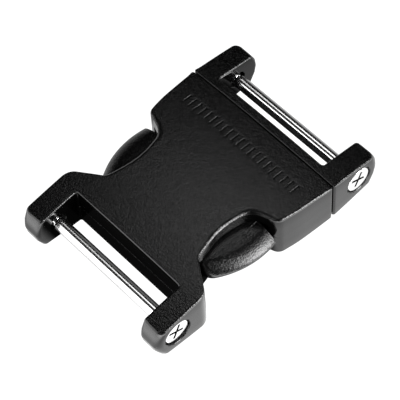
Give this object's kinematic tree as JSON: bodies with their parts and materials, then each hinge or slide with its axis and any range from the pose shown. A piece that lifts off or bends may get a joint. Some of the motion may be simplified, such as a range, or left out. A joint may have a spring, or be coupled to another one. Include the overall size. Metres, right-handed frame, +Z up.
{
  "type": "side release buckle",
  "caption": "Fastened side release buckle for 25 mm webbing, moulded halves, with a removable steel web pin across each end.",
  "frame": {"origin": "on the resting surface, under the middle of the fastened buckle", "axes": "+X along the strap from the female end to the male end, +Y across the strap, +Z up through the top plate"},
  "size_m": [0.053, 0.0354, 0.0108],
  "materials": {
    "black_plastic": "fine pebbly mould grain",
    "steel": "drawn and polished"
  },
  "bodies": {
    "root": {"female_body": "black_plastic", "male_body": "black_plastic", "female_web_pin": "steel", "male_web_pin": "steel"}
  },
  "joints": []
}
